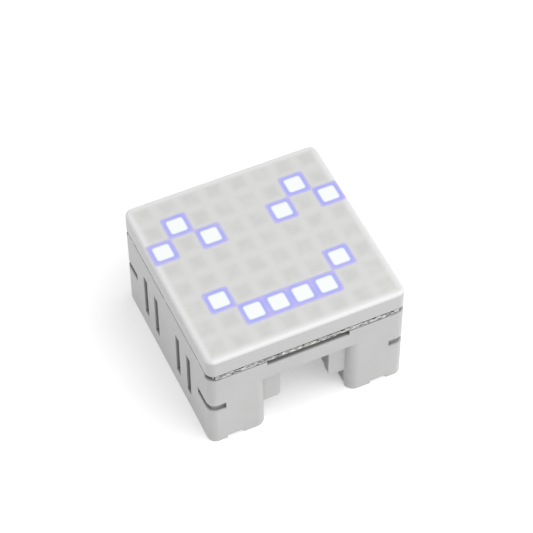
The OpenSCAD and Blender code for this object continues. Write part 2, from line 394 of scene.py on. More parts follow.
def shaded(colour: Colour, share: float) -> Colour:
    """A colour made darker or lighter.

    Args:
        colour: The colour.
        share: What each of its channels is multiplied by.

    Returns:
        The new colour, with no channel above 1.
    """
    return tuple(min(1.0, channel * share) for channel in colour)


@dataclass(frozen=True)
class Plastic:
    """Moulded plastic with a fine spark-eroded grain, and painted shade in the recesses that
    recess() marks.
    """

    name: str
    colour: Colour
    roughness: float = 0.42
    grain: float = 0.16 * MM
    grain_depth: float = 0.006 * MM
    variation: float = 0.03
    # Painted shade: share of the colour left in recesses, standing in for the shade that falls
    # there.
    painted_shade_tone: float = 0.56
    cloud_size: float = 7 * MM
    cloud_share: float = 0.7
    patch_edge: Pair = (0.3, 0.7)
    cloud_gloss: float = 0.08
    speck_gloss: float = 0.06
    ior: float = 1.49

    def recess(self, shader: Shader) -> Number:
        """How much painted shade a point gets, from 0 to 1, for lying in a recess where shade
        falls. A plain moulding has none.
        """
        return 0.0

    def material(self) -> Material:
        """Makes the material."""
        shader = Shader(self.name)
        cloud = shader.noise(self.cloud_size, 3)
        speck = shader.noise(self.grain * 2, 1)
        patches = cloud * self.cloud_share + speck * (1 - self.cloud_share)
        dark = shaded(self.colour, 1 - self.variation)
        light = shaded(self.colour, 1 + self.variation)
        tone = shader.mix(patches.rise(*self.patch_edge), dark, light)
        smoothest = self.roughness - (self.cloud_gloss + self.speck_gloss) / 2
        shader.set(
            # Painted shade: where recess() is above 0 the base colour darkens towards the painted
            # shade tone.
            Base_Color=shader.mix(
                self.recess(shader), tone, shaded(self.colour, self.painted_shade_tone)
            ),
            Roughness=cloud * self.cloud_gloss + speck * self.speck_gloss + smoothest,
            IOR=self.ior,
            Specular_IOR_Level=0.5,
        )
        shader.bump(shader.noise(self.grain, 2), self.grain_depth)
        return shader.material


@dataclass(frozen=True)
class HousingPlasticWithPaintedShade(Plastic):
    """The housing's plastic, with painted shade: its base colour is darker in its recesses and on
    its inner walls, where shade falls.
    """

    sizes: UnitSizes = UnitSizes()
    wall_t: float = 2.0 * MM
    groove_z: float = 12.7 * MM
    groove_h: float = 2.1 * MM
    groove_reach: float = 4.2 * MM
    end_rim: float = 1.5 * MM
    slot_reach: float = 17.0 * MM
    slot_z: float = 5.1 * MM
    margin: float = 0.1 * MM
    start: float = 0.2 * MM
    full: float = 0.45 * MM

    def recess(self, shader: Shader) -> Number:
        """Painted shade mask: how far a point lies in a groove, a slot, the upper seam or behind
        the walls, where shade falls.
        """
        x, y, z = (shader.place(axis) for axis in "XYZ")
        half, corner, margin = self.sizes.half_w, self.sizes.corner_r, self.margin
        out_x = (abs(x) - (half - corner)).most(0.0)
        out_y = (abs(y) - (half - corner)).most(0.0)
        depth = corner - (out_x * out_x + out_y * out_y).root()
        inside = depth.rise(self.start, self.full)

        reach = self.groove_h / 2 + margin
        groove_x = half - self.groove_reach
        groove = abs(z - self.groove_z).rise(reach + margin, reach)
        groove = groove * abs(x).rise(groove_x - margin, groove_x)
        rim_z = self.sizes.board_bottom - self.end_rim
        rim = z.rise(rim_z - margin, rim_z)

        slot = (half - abs(x)).rise(self.start, self.full)
        slot = slot * abs(y).rise(self.slot_reach + margin, self.slot_reach)
        slot = slot * z.rise(self.slot_z - margin, self.slot_z)

        from_outline = half - abs(x).most(abs(y))
        behind = from_outline.rise(self.wall_t + self.start, self.wall_t + 2 * self.full)
        # Painted shade in the corner grooves, the notch under the board, the vent slots and on the
        # inner walls.
        return (inside * groove.most(rim)).most(slot).most(behind)


@dataclass(frozen=True)
class Metal:
    """Bare or plated metal with fine drawn streaks."""

    name: str
    colour: Colour
    roughness: float = 0.3
    streak_w: float = 0.12 * MM
    streak_stretch: Point = (1, 1, 12)
    streak_gloss: float = 0.2
    streak_depth: float = 0.004 * MM
    cloud_size: float = 1.5 * MM
    worn_tone: float = 0.82
    worn_edge: Pair = (0.35, 0.7)

    def material(self) -> Material:
        """Makes the material."""
        shader = Shader(self.name)
        streaks = shader.noise(self.streak_w, 2, self.streak_stretch)
        cloud = shader.noise(self.cloud_size, 2)
        worn = shaded(self.colour, self.worn_tone)
        shader.set(
            Base_Color=shader.mix(cloud.rise(*self.worn_edge), worn, self.colour),
            Roughness=streaks * self.streak_gloss + (self.roughness - self.streak_gloss / 2),
            Metallic=1.0,
        )
        shader.bump(streaks, self.streak_depth)
        return shader.material


class Cell(Enum):
    """What a light cell of the cap's face shows."""

    DARK = "."
    LIT = "#"


@dataclass(frozen=True)
class Diffuser:
    """Milky plastic with the light cells showing through its face.

    Widths and edges are in pitches of the cells. An edge says where its mask is 0 and 1.
    """

    name: str
    sizes: UnitSizes
    rows: tuple[str, ...] = (
        "........",
        ".#....#.",
        "#.#..#.#",
        "........",
        "........",
        ".#....#.",
        "..####..",
        "........",
    )
    rim_colour: Colour = (0.68, 0.68, 0.68)
    web_colour: Colour = (0.585, 0.585, 0.58)
    cell_colour: Colour = (0.53, 0.532, 0.52)
    side_colour: Colour = (0.49, 0.49, 0.49)
    halo_colour: Colour = (0.235, 0.215, 0.36)
    halo_glow: Colour = (0.23, 0.22, 0.45)
    inner_colour: Colour = (0.17, 0.175, 0.36)
    inner_glow: Colour = (0.20, 0.225, 0.50)
    core_colour: Colour = (0.36, 0.37, 0.365)
    core_glow: Colour = (0.50, 0.52, 0.51)
    core_w: float = 0.68
    core_r: float = 0.10
    halo_w: float = 1.07
    halo_r: float = 0.12
    neck: float = 0.12
    glow_depth: float = 0.9 * MM
    mottle_size: float = 1.1 * MM
    cloud_size: float = 3.2 * MM
    blur: float = 0.12
    window_edge: Pair = (0.46, 0.14)
    window_haze: Pair = (0.1, 0.65)
    rim_edge: Pair = (-0.28, 0.02)
    rim_blur: float = 0.3
    face_edge: float = 0.08
    core_edge: Pair = (0.045, -0.045)
    inner_edge: Pair = (0.2, 0.02)
    inner_blur: float = 0.25
    halo_edge: Pair = (0.05, -0.07)
    halo_blur: float = 0.4
    gloss: Pair = (0.3, 0.4)
    grain: float = 0.2 * MM
    grain_depth: float = 0.003 * MM

    def lit_places(self) -> list[Pair]:
        """Centres of the lit cells, in pitches from the middle of the face."""
        middle = (self.sizes.cells - 1) / 2
        return [
            (column - middle, middle - row)
            for row, marks in enumerate(self.rows)
            for column, mark in enumerate(marks)
            if Cell(mark) is Cell.LIT
        ]

    def distance_to_light(self, x: Value, y: Value, width: float, corner_r: float) -> Value:
        """How far a point lies outside the nearest of the rounded squares on the lit cells.

        Args:
            x: Place across the face, in pitches.
            y: Place along the face, in pitches.
            width: Width of the squares, in pitches.
            corner_r: Radius of their corners, in pitches.

        Returns:
            The distance in pitches, which is below 0 inside a square.
        """
        straight = width / 2 - corner_r
        nearest: Value | None = None
        for centre_x, centre_y in self.lit_places():
            out_x = (abs(x - centre_x) - straight).most(0.0)
            out_y = (abs(y - centre_y) - straight).most(0.0)
            gap = (out_x * out_x + out_y * out_y).root() - corner_r
            nearest = gap if nearest is None else nearest.melt(gap, self.neck)
        return nearest

    def material(self) -> Material:
        """Makes the material."""
        shader = Shader(self.name)
        pitch = self.sizes.pitch
        x, y, z = (shader.place(axis) / pitch for axis in "XYZ")
        mottle = shader.noise(self.mottle_size, 3)
        cloud = shader.noise(self.cloud_size, 2)
        blur = (mottle - 0.5) * self.blur

        field_half = self.sizes.cells / 2
        off_x, off_y = (abs((place + field_half).part() - 0.5) for place in (x, y))
        haze = cloud.rise(*self.window_haze)
        window = (off_x.most(off_y) + blur).rise(*self.window_edge) * haze
        past_field = abs(x).most(abs(y)) + blur * self.rim_blur - field_half
        rim = past_field.rise(*self.rim_edge)
        face = (z - (self.sizes.top - self.glow_depth) / pitch).rise(0.0, self.face_edge)

        tone = shader.mix(window, self.web_colour, self.cell_colour)
        tone = shader.mix(rim, tone, self.rim_colour)
        tone = shader.mix(face, self.side_colour, tone)

        from_core = self.distance_to_light(x, y, self.core_w, self.core_r)
        from_halo = self.distance_to_light(x, y, self.halo_w, self.halo_r)
        core = from_core.rise(*self.core_edge) * face
        inner = (from_core + (cloud - 0.5) * self.inner_blur).rise(*self.inner_edge)
        halo = (from_halo + blur * self.halo_blur).rise(*self.halo_edge) * face
        tone = shader.mix(halo, tone, shader.mix(inner, self.halo_colour, self.inner_colour))
        tone = shader.mix(core, tone, self.core_colour)
        lit = shader.mix(inner, self.halo_glow, self.inner_glow)
        glow = shader.mix(core, shader.mix(halo, (0.0, 0.0, 0.0), lit), self.core_glow)

        shader.set(
            Base_Color=tone,
            Roughness=mottle * (self.gloss[1] - self.gloss[0]) + self.gloss[0],
            IOR=1.5,
            Emission_Color=glow,
            Emission_Strength=1.0,
        )
        shader.bump(shader.noise(self.grain, 2), self.grain_depth)
        return shader.material


@dataclass(frozen=True)
class BoardLaminate:
    """Circuit board: black solder mask, and glass fibre and resin at its cut edge. The black also
    stands in for the shade in the thin seams above and below the board, as painted shade.
    """

    name: str
    sizes: UnitSizes
    # Black solder mask; it also serves as painted shade in the thin seams above and below the
    # board.
    mask: Colour = (0.03, 0.03, 0.032)
    resin: Colour = (0.30, 0.30, 0.29)
    fibre: Colour = (0.66, 0.66, 0.65)
    pit: Colour = (0.05, 0.05, 0.05)
    edge_reach: float = 0.25 * MM
    fibre_size: float = 0.5 * MM
    fibre_stretch: Point = (2.2, 2.2, 0.5)
    fibre_edge: Pair = (0.44, 0.56)
    pit_size: float = 0.55 * MM
    pit_stretch: Point = (1.6, 1.6, 0.6)
    pit_edge: Pair = (0.52, 0.62)
    fibre_depth: float = 0.02 * MM
    fibre_relief: float = 0.6
    mask_roughness: float = 0.3
    cut_roughness: float = 0.6

    def material(self) -> Material:
        """Makes the material."""
        shader = Shader(self.name)
        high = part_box("led_board")[1]
        x, y = abs(shader.place("X")), abs(shader.place("Y"))
        at_side = x.rise(high.x - self.edge_reach, high.x - self.edge_reach / 2)
        at_end = y.rise(high.y - self.edge_reach, high.y - self.edge_reach / 2)
        edge = at_side.most(at_end)
        fibres = shader.noise(self.fibre_size, 3, self.fibre_stretch)
        pits = shader.noise(self.pit_size, 2, self.pit_stretch)
        cut = shader.mix(fibres.rise(*self.fibre_edge), self.resin, self.fibre)
        cut = shader.mix(pits.rise(*self.pit_edge), cut, self.pit)
        shader.set(
            Base_Color=shader.mix(edge, self.mask, cut),
            Roughness=edge * (self.cut_roughness - self.mask_roughness) + self.mask_roughness,
            IOR=1.5,
        )
        shader.bump(fibres, self.fibre_depth, self.fibre_relief)
        return shader.material


@dataclass(frozen=True)
class Component:
    """Small part on the board, with metal ends that start at end_at from its middle."""

    name: str
    body: Colour
    sizes: UnitSizes
    end_at: float
    metal: Colour = (0.76, 0.76, 0.74)
    relief: float = 0.004 * MM
    speck_size: float = 0.15 * MM
    dark_share: float = 0.85
    gloss: Pair = (0.3, 0.4)
    end_waver: float = 0.05 * MM
    end_edge: float = 0.03 * MM

    def ends(self, shader: Shader, speck: Value) -> Value:
        """Where the metal shows, from 0 to 1.

        Args:
            shader: The part's material.
            speck: Fine noise.

        Returns:
            The mask, for parts in the middle of the light cells along X.
        """
        pitch = self.sizes.pitch
        off = abs((shader.place("X") / pitch + self.sizes.cells / 2).part() - 0.5) * pitch
        return (off + speck * self.end_waver).rise(self.end_at, self.end_at + self.end_edge)

    def material(self) -> Material:
        """Makes the material."""
        shader = Shader(self.name)
        speck = shader.noise(self.speck_size, 2)
        end = self.ends(shader, speck)
        body = shader.mix(speck, shaded(self.body, self.dark_share), self.body)
        low, high = self.gloss
        shader.set(
            Base_Color=shader.mix(end, body, self.metal),
            Metallic=end,
            Roughness=speck * (high - low) + low,
        )
        shader.bump(speck, self.relief)
        return shader.material


@dataclass(frozen=True)
class LeadedPackage(Component):
    """Black epoxy package whose leads lie against the board and are end_at thick."""

    speck_size: float = 0.1 * MM
    dark_share: float = 0.7
    gloss: Pair = (0.35, 0.5)
    lead_edge: float = 0.01 * MM

    def ends(self, shader: Shader, speck: Value) -> Value:
        """Where the leads show, from 0 to 1."""
        lead_z = self.sizes.board_bottom - self.end_at
        return shader.place("Z").rise(lead_z - self.lead_edge, lead_z + self.lead_edge)


# ---- Mesh helpers ----


def link(name: str, mesh: Mesh) -> Object:
    """Puts a mesh into the scene.

    Args:
        name: The piece's name.
        mesh: Its mesh, in the unit's frame.

    Returns:
        The piece's object, at the origin.
    """
    made = bpy.data.objects.new(name, mesh)
    bpy.context.scene.collection.objects.link(made)
    return made


def mesh_of(name: str, build: Callable[[BMesh], None]) -> Mesh:
    """Makes a mesh with a bmesh function.

    Args:
        name: The mesh's name.
        build: Fills the bmesh.

    Returns:
        The mesh, with its faces turned outwards.
    """
    work = bmesh.new()
    build(work)
    bmesh.ops.remove_doubles(work, verts=work.verts, dist=SAME_POINT)
    bmesh.ops.recalc_face_normals(work, faces=work.faces)
    mesh = bpy.data.meshes.new(name)
    work.to_mesh(mesh)
    work.free()
    return mesh


def circle(work: BMesh, radius: float, z: float, steps: int, start: float = 0.0) -> Ring:
    """Adds a ring of points around the Z axis.

    Args:
        work: The mesh.
        radius: The ring's radius.
        z: Its height.
        steps: How many points it has.
        start: Where the first point lies, in steps.

    Returns:
        The points, in order.
    """
    turns = [2 * math.pi * (step + start) / steps for step in range(steps)]
    return [work.verts.new((radius * math.cos(t), radius * math.sin(t), z)) for t in turns]


def skin(work: BMesh, rings: Sequence[Ring], closed: bool = True) -> None:
    """Joins each ring of points to the next with faces.

    Args:
        work: The mesh.
        rings: Rings with the same number of points.
        closed: Whether the first and the last ring get a face too.
    """
    for first, second in zip(rings, rings[1:]):
        for i in range(len(first)):
            j = (i + 1) % len(first)
            work.faces.new((first[i], first[j], second[j], second[i]))
    if closed:
        work.faces.new(rings[0])
        work.faces.new(rings[-1])


def smooth(mesh: Mesh, angle: float = 32.0) -> None:
    """Shades a mesh smoothly, with edges sharper than an angle kept crisp.

    Args:
        mesh: The mesh.
        angle: The angle, in degrees.
    """
    mesh.shade_smooth()
    mesh.set_sharp_from_angle(angle=math.radians(angle))


def finished(piece: Object, material: Material, slot: str, *nodes: str) -> Object:
    """Dresses a finished piece and ties it to the frame.

    Args:
        piece: The piece.
        material: Its material.
        slot: The record's material slot; not used.
        nodes: The CAD nodes that it stands for.

    Returns:
        The piece.
    """
    piece.data.materials.clear()
    piece.data.materials.append(material)
    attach(piece, ROOT)
    if nodes:
        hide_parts(*nodes)
    log.info("%s: %d faces", piece.name, len(piece.data.polygons))
    return piece


@dataclass(frozen=True)
class EdgeBreak:
    """How the sharp edges of a moulded or cut piece are broken."""

    width: float
    segments: int = 2
    angle: float = 38.0
    smooth_angle: float = 40.0


def rounded_copy(name: str, node: str, edges: EdgeBreak) -> Object:
    """Copies a CAD node and breaks its sharp edges.

    Args:
        name: The new piece's name.
        node: The CAD node.
        edges: How its edges are broken.

    Returns:
        The new piece.
    """
    work = bmesh.new()
    work.from_mesh(frame["nodes"][node].data)
    bmesh.ops.remove_doubles(work, verts=work.verts, dist=SAME_CAD_POINT)
    bmesh.ops.dissolve_limit(
        work, angle_limit=math.radians(FLAT_ANGLE), verts=work.verts, edges=work.edges
    )
    sharp = [
        e
        for e in work.edges
        if e.is_manifold and e.calc_face_angle(0.0) > math.radians(edges.angle)
    ]
    bmesh.ops.bevel(
        work,
        geom=sharp,
        offset=edges.width,
        offset_type="OFFSET",
        segments=edges.segments,
        profile=0.5,
        affect="EDGES",
        clamp_overlap=True,
        loop_slide=True,
        miter_outer="SHARP",
    )
    mesh = bpy.data.meshes.new(name)
    work.to_mesh(mesh)
    work.free()
    smooth(mesh, edges.smooth_angle)
    piece = link(name, mesh)
    piece.modifiers.new("weighted", "WEIGHTED_NORMAL").keep_sharp = True
    return bake_modifiers(piece)


def bake_modifiers(piece: Object) -> Object:
    """Turns a piece with modifiers into a plain mesh.

    Args:
        piece: The piece.

    Returns:
        The same piece, with the result as its mesh and no modifiers.
    """
    bpy.context.view_layer.update()
    result = piece.evaluated_get(bpy.context.evaluated_depsgraph_get())
    mesh = bpy.data.meshes.new_from_object(result)
    mesh.name = piece.name
    piece.modifiers.clear()
    piece.data = mesh
    return piece


# ---- Copies on a grid, with Geometry Nodes ----


class GridOfCopies:
    """Geometry Nodes tree that sets copies of a shape on a flat grid."""

    def __init__(self) -> None:
        """Builds the tree."""
        self.tree = bpy.data.node_groups.new("grid_of_copies", "GeometryNodeTree")
        self.ids: dict[str, str] = {}
        self._socket("Shape", "NodeSocketGeometry")
        for name in ("Columns", "Rows"):
            self._socket(name, "NodeSocketInt")
        for name in ("Column Step", "Row Step"):
            self._socket(name, "NodeSocketFloat")
        self._socket("Middle", "NodeSocketVector")
        self._socket("Finish", "NodeSocketMaterial")
        self.tree.interface.new_socket("Copies", in_out="OUTPUT", socket_type="NodeSocketGeometry")

        given = self._node("NodeGroupInput").outputs
        width = self._span(given["Columns"], given["Column Step"])
        depth = self._span(given["Rows"], given["Row Step"])
        grid = self._node(
            "GeometryNodeMeshGrid",
            {
                "Size X": width,
                "Size Y": depth,
                "Vertices X": given["Columns"],
                "Vertices Y": given["Rows"],
            },
        )
        placed = self._node(
            "GeometryNodeSetPosition",
            {"Geometry": grid.outputs["Mesh"], "Offset": given["Middle"]},
        )
        copies = self._node(
            "GeometryNodeInstanceOnPoints",
            {"Points": placed.outputs[0], "Instance": given["Shape"]},
        )
        real = self._node("GeometryNodeRealizeInstances", {"Geometry": copies.outputs[0]})
        dressed = self._node(
            "GeometryNodeSetMaterial", {"Geometry": real.outputs[0], "Material": given["Finish"]}
        )
        self._node("NodeGroupOutput", {"Copies": dressed.outputs[0]})

    def _socket(self, name: str, kind: str) -> None:
        """Adds a named input to the tree."""
        made = self.tree.interface.new_socket(name, in_out="INPUT", socket_type=kind)
        self.ids[name] = made.identifier

    def _node(self, kind: str, links: dict[str, NodeSocket] | None = None) -> Node:
        """Adds a node.

        Args:
            kind: Its type.
            links: The socket that feeds each input.

        Returns:
            The node.
        """
        made = self.tree.nodes.new(kind)
        for name, socket in (links or {}).items():
            self.tree.links.new(socket, made.inputs[name])
        return made

    def _math(self, operation: str, first: NodeSocket, second: NodeSocket | float) -> NodeSocket:
        """Result of a Math node, whose second input may be a plain number."""
        made = self.tree.nodes.new("ShaderNodeMath")
        made.operation = operation
        self.tree.links.new(first, made.inputs[0])
        if isinstance(second, NodeSocket):
            self.tree.links.new(second, made.inputs[1])
        else:
            made.inputs[1].default_value = second
        return made.outputs[0]

    def _span(self, count: NodeSocket, step: NodeSocket) -> NodeSocket:
        """Length of a row of copies, between the middles of its ends."""
        return self._math("MULTIPLY", self._math("SUBTRACT", count, 1.0), step)

    def spread(
        self,
        piece: Object,
        counts: tuple[int, int],
        steps: tuple[float, float],
        middle: Point,
        material: Material,
    ) -> Object:
        """Replaces a piece's mesh with its copies on a grid.

        Args:
            piece: Holds the shape, around the origin.
            counts: Columns and rows.
            steps: Distances between the columns and between the rows, in metres.
            middle: Middle of the grid.
            material: The copies' material.

        Returns:
            The piece, as a plain mesh.
        """
        values = {
            "Columns": counts[0],
            "Rows": counts[1],
            "Column Step": steps[0],
            "Row Step": steps[1],
            "Middle": middle,
            "Finish": material,
        }
        modifier = piece.modifiers.new("copies", "NODES")
        modifier.node_group = self.tree
        for name, value in values.items():
            modifier[self.ids[name]] = value
        return bake_modifiers(piece)


# ---- Sub-assemblies ----


@dataclass
class DiffuserCap:
    """The milky cap, as one closed shell with a softly rounded face edge."""

    sizes: UnitSizes
    finish: Diffuser
    edge_steps: int = 8
    corner_steps: int = 12
    lower_edge_r: float = 0.15 * MM
    lower_edge_bulge: float = 0.3
    least_corner_r: float = 0.05 * MM
    flat_inset: float = 0.6 * MM

    def ring(self, work: BMesh, inset: float, z: float) -> Ring:
        """Adds one ring of points around the cap.

        Args:
            work: The mesh.
            inset: Distance inside the cap's outline.
            z: Height.

        Returns:
            The ring's points, in order.
        """
        radius = max(self.sizes.corner_r - inset, self.least_corner_r)
        centre = self.sizes.half_w - inset - radius
        made = []
        for quarter in range(4):
            for step in range(self.corner_steps + 1):
                turn = math.radians(90 * (quarter + step / self.corner_steps))
                side = math.radians(90 * quarter + 45)
                x = math.copysign(centre, math.cos(side)) + radius * math.cos(turn)
                y = math.copysign(centre, math.sin(side)) + radius * math.sin(turn)
                made.append(work.verts.new((x, y, z)))
        return made

    def outline(self) -> list[Pair]:
        """Section of the shell, as inset and height, from the face's middle to the ceiling's."""
        s = self.sizes
        low, edge, lip = s.cap_bottom, s.cap_edge_r, self.lower_edge_r
        bulge = self.lower_edge_bulge * lip
        section = [(edge + self.flat_inset, s.top)]
        for step in range(self.edge_steps + 1):
            turn = math.radians(90 * step / self.edge_steps)
            section.append((edge * (1 - math.sin(turn)), s.top - edge * (1 - math.cos(turn))))
        section += [(0.0, low + 2 * lip), (0.0, low + lip)]
        section += [(bulge, low + bulge), (lip, low), (s.cap_wall - lip, low)]
        section += [(s.cap_wall, low + lip), (s.cap_wall, s.top - s.face_t)]
        return section

    def fill(self, work: BMesh) -> None:
        """Builds the shell."""
        skin(work, [self.ring(work, inset, z) for inset, z in self.outline()])

    def build(self) -> None:
        """Builds and dresses the cap."""
        mesh = mesh_of("cap", self.fill)
        smooth(mesh)
        finished(link("cap", mesh), self.finish.material(), "diffuser", "diffuser_cap")


@dataclass
class CadCopy:
    """A piece with the shape of its CAD node, and its sharp edges broken."""

    name: str
    node: str
    slot: str
    finish: Plastic | BoardLaminate
    edges: EdgeBreak

    def build(self) -> None:
        """Builds and dresses the piece."""
        piece = rounded_copy(self.name, self.node, self.edges)
        finished(piece, self.finish.material(), self.slot, self.node)


@dataclass
class LedField:
    """The LED packages and the clear filling of their cups."""

    sizes: UnitSizes
    grid: GridOfCopies
    height: float = 1.4 * MM
    cup_depth: float = 0.4 * MM
    key: float = 0.5 * MM
    foot_t: float = 0.35 * MM
    waist: float = 0.06 * MM
    shoulder_h: float = 0.08 * MM
    shoulder_w: float = 0.06 * MM
    cup_taper: float = 0.8
    fill_gap: float = 0.02 * MM
    fill_rise: float = 0.01 * MM
    fill_hollow: float = 0.04 * MM
    fill_middle: float = 0.6
    round_steps: int = 24

    def body(self, work: BMesh) -> None:
        """One package: a waisted block with a keyed corner and a conical cup."""
        half = self.sizes.led_w / 2
        cup_r = self.sizes.led_cup_d / 2

        def square(shrink: float, z: float) -> Ring:
            """A ring of points around the block, one for each step round the cup."""
            made = []
            for step in range(self.round_steps):
                turn = 2 * math.pi * (step + 0.5) / self.round_steps
                c, s = math.cos(turn), math.sin(turn)
                reach = (half - shrink) / max(abs(c), abs(s))
                if c > 0 and s > 0:
                    reach = min(reach, (2 * (half - shrink) - self.key) / (c + s))
                made.append(work.verts.new((reach * c, reach * s, z)))
            return made

        floor = self.height - self.cup_depth
        rings = [
            square(0.0, 0.0),
            square(0.0, self.foot_t),
            square(self.waist, self.foot_t + self.waist),
            square(self.waist, self.height - self.shoulder_h),
            square(self.waist + self.shoulder_w, self.height),
            circle(work, cup_r, self.height, self.round_steps, 0.5),
            circle(work, cup_r * self.cup_taper, floor, self.round_steps, 0.5),
        ]
        skin(work, rings)

    def filling(self, work: BMesh) -> None:
        """The clear filling of one cup, slightly hollow at its face."""
        top_r = self.sizes.led_cup_d / 2 - self.fill_gap
        top = self.height - self.fill_gap
        section = [
            (top_r * self.cup_taper, self.height - self.cup_depth + self.fill_rise),
            (top_r, top),
            (top_r * self.fill_middle, top - self.fill_hollow),
        ]
        skin(work, [circle(work, r, z, self.round_steps) for r, z in section])

    def spread(self, name: str, build: Callable[[BMesh], None], material: Material) -> Object:
        """Makes one shape and its copies in all cells.

        Args:
            name: The piece's name.
            build: Makes the shape, around the origin.
            material: Its material.

        Returns:
            The piece.
        """
        mesh = mesh_of(name, build)
        smooth(mesh, ROUND_ANGLE)
        cells, pitch = self.sizes.cells, self.sizes.pitch
        middle = (0.0, 0.0, self.sizes.board_top)
        return self.grid.spread(link(name, mesh), (cells, cells), (pitch, pitch), middle, material)

    def build(self) -> None:
        """Builds and dresses the LEDs."""
        white = Plastic("led_white", (0.86, 0.86, 0.84), 0.35, 0.08 * MM, 0.003 * MM).material()
        clear = Plastic("led_filling", (0.86, 0.83, 0.66), 0.12, 0.5 * MM, 0.001 * MM).material()
        rows = [f"leds_row_{row + 1}" for row in range(self.sizes.cells)]
        finished(self.spread("led_packages", self.body, white), white, "led_package", *rows)
        finished(self.spread("led_fillings", self.filling, clear), clear, "led_package")


@dataclass
class CableSocket:
    """One cable socket: its moulded shell and its row of pins."""

    side: str
    turn: float
    grid: GridOfCopies
    shell_finish: Plastic
    pin_finish: Metal
    contacts: int = 4
    pitch: float = 2.0 * MM
    pin_w: float = 0.5 * MM
    tip_taper: float = 0.5 * MM
    tip_share: float = 0.22
    foot_t: float = 0.3 * MM
    shell_edges: EdgeBreak = EdgeBreak(0.06 * MM, 1)

    def shank_y(self) -> float:
        """Middle of the pins' shanks along Y, at the end away from their feet."""
        low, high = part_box(f"socket_{self.side}_pins")
        return high.y - self.pin_w / 2 if self.turn else low.y + self.pin_w / 2

    def pin(self, work: BMesh) -> None:
        """One pin around the origin, with a tapered tip and a bent solder foot."""
        low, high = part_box(f"socket_{self.side}_pins")
        length = high.z - low.z
        middle_y = self.shank_y()
        foot_y = middle_y - low.y if self.turn else high.y - middle_y
        half = self.pin_w / 2
        levels = [
            (self.pin_w * self.tip_share, 0.0),
            (half, self.tip_taper),
            (half, length - self.foot_t),
        ]
        signs = ((-1, -1), (1, -1), (1, 1), (-1, 1))
        rings = [[work.verts.new((x * w, y * w, z)) for x, y in signs] for w, z in levels]
        skin(work, rings)
        foot = bmesh.ops.create_cube(work, size=1.0)["verts"]
        for v in foot:
            v.co.x *= self.pin_w
            v.co.y = -half + (v.co.y + 0.5) * (foot_y + half)
            v.co.z = length - self.foot_t + (v.co.z + 0.5) * self.foot_t
        if self.turn:
            bmesh.ops.rotate(work, verts=work.verts, matrix=Matrix.Rotation(self.turn, 3, "Z"))

    def build(self) -> None:
        """Builds and dresses the socket."""
        socket = f"socket_{self.side}"
        shell, finish = f"{socket}_housing", self.shell_finish
        CadCopy(f"{socket}_shell", shell, "socket_plastic", finish, self.shell_edges).build()
        name = f"{socket}_contacts"
        mesh = mesh_of(name, self.pin)
        metal = self.pin_finish.material()
        place = (0.0, self.shank_y(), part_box(f"{socket}_pins")[0].z)
        copies = self.grid.spread(
            link(name, mesh), (self.contacts, 1), (self.pitch, 0.0), place, metal
        )
        finished(copies, metal, "tinned_metal", f"{socket}_pins")


@dataclass
class CaseScrews:
    """The four screws that hold the housing, the board and the grid together."""

    grid: GridOfCopies
    finish: Metal
    thread_d: float = 2.0 * MM
    core_d: float = 1.5 * MM
    thread_step: float = 0.7 * MM
    head_d: float = 3.6 * MM
    head_h: float = 1.3 * MM
    recess_d: float = 2.0 * MM
    recess_w: float = 0.5 * MM
    recess_depth: float = 0.7 * MM
    recess_taper: float = 0.8
    head_edge: float = 0.35 * MM
    head_bulge: Pair = (0.08 * MM, 0.12 * MM)
    seat_edge: float = 0.05 * MM
    plain_l: float = 0.4 * MM
    crest_rise: float = 0.2 * MM
    tip_l: float = 0.6 * MM
    tip_r: float = 0.3 * MM
    round_steps: int = 24

    def fill(self, work: BMesh) -> None:
        """One screw around the origin, head down, with a thread of pointed rings."""
        low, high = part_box("case_screws")
        length = high.z - low.z
        head, core, crest = self.head_d / 2, self.core_d / 2, self.thread_d / 2
        bulge_in, bulge_up = self.head_bulge
        section = [(head - self.head_edge, 0.0), (head - bulge_in, bulge_up)]
        section += [(head, self.head_edge), (head, self.head_h - self.seat_edge)]
        section += [(head - self.seat_edge, self.head_h), (core, self.head_h)]
        z = self.head_h + self.plain_l
        while z + self.thread_step < length - self.tip_l:
            section += [(core, z), (crest, z + self.crest_rise), (core, z + 2 * self.crest_rise)]
            z += self.thread_step
        section += [(core, length - self.tip_l), (self.tip_r, length)]
        rings = [circle(work, r, up, self.round_steps) for r, up in section]
        skin(work, rings, closed=False)
        work.faces.new(rings[-1])
        self.recess(work, rings[0])

    def recess(self, work: BMesh, rim: Ring) -> None:
        """Closes the head's face with a cross recess.

        Args:
            work: The mesh.
            rim: The ring of points around the head's face.
        """
        arm, half, deep = self.recess_d / 2, self.recess_w / 2, self.recess_depth
        corners = []
        for quarter in range(4):
            turn = Matrix.Rotation(math.radians(90 * quarter), 2)
            corners += [turn @ Vector(p) for p in ((arm, -half), (arm, half), (half, half))]
        mouth = [work.verts.new((c.x, c.y, 0.0)) for c in corners]
        taper = self.recess_taper
        floor = [work.verts.new((c.x * taper, c.y * taper, deep)) for c in corners]
        edges = []
        for loop in (mouth, rim):
            for i in range(len(loop)):
                pair = (loop[i], loop[(i + 1) % len(loop)])
                edges.append(work.edges.get(pair) or work.edges.new(pair))
        bmesh.ops.triangle_fill(work, use_beauty=True, use_dissolve=False, edges=edges)
        inside = [f for f in work.faces if all(v in mouth for v in f.verts)]
        bmesh.ops.delete(work, geom=inside, context="FACES_ONLY")
        skin(work, (mouth, floor), closed=False)
        work.faces.new(floor)

    def build(self) -> None:
        """Builds and dresses the screws."""
        low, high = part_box("case_screws")
        reach = (high.x - low.x) - self.head_d
        mesh = mesh_of("screws", self.fill)
        smooth(mesh, ROUND_ANGLE)
        metal = self.finish.material()
        copies = self.grid.spread(
            link("screws", mesh), (2, 2), (reach, reach), (0.0, 0.0, low.z), metal
        )
        finished(copies, metal, "steel", "case_screws")


